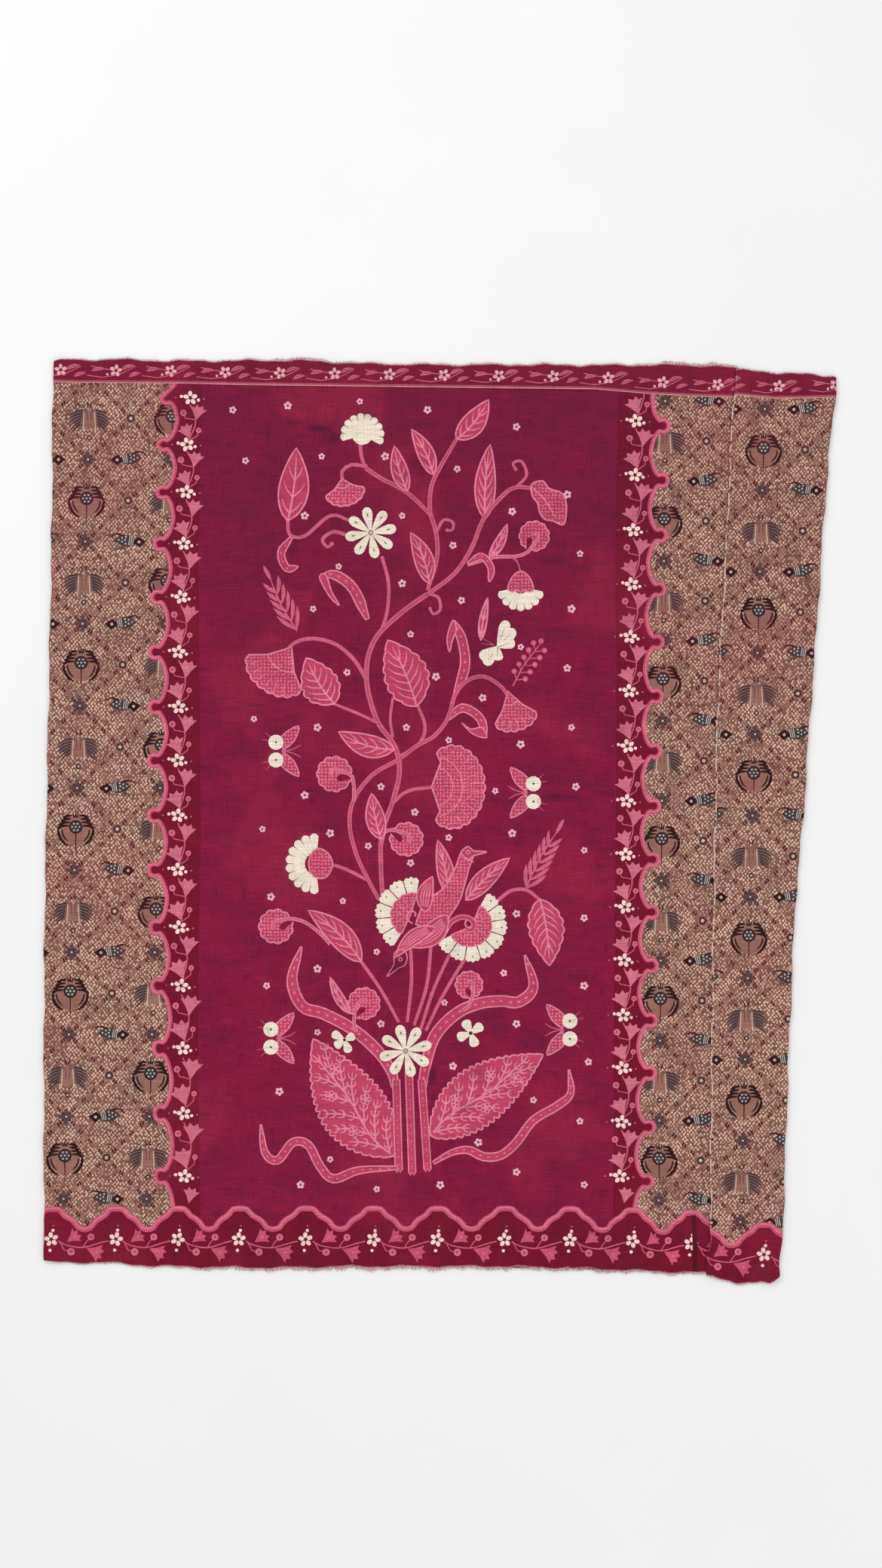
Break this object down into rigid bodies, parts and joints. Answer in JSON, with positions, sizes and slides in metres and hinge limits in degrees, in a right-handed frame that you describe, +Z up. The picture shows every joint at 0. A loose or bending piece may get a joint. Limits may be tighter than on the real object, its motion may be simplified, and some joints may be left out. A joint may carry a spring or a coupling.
{
  "type": "batik sarong laid flat",
  "caption": "Tube skirt laid flat: one wide length of dyed cotton lapped and sewn end to end, with a flowering tree panel, patterned sides, vine borders and short fringe.",
  "frame": {"origin": "on the surface the cloth lies on, under the middle of its bounding box", "axes": "+Y runs up the cloth from hem to waist, +X to the right across the front, +Z up out of the cloth's front"},
  "size_m": [0.936, 1.0991, 0.0052],
  "materials": {
    "batik_cotton": "soft plain-weave cotton, wax-resist dyed maroon with rose, cream and tan figures",
    "thread_ends": "loose cotton thread ends, matt"
  },
  "bodies": {
    "root": {"sarong_cloth": "batik_cotton", "waist_fringe_main": "thread_ends", "hem_fringe_main": "thread_ends", "waist_fringe_lap": "thread_ends", "hem_fringe_lap": "thread_ends", "waist_fringe_back": "thread_ends", "hem_fringe_back": "thread_ends"}
  },
  "joints": []
}
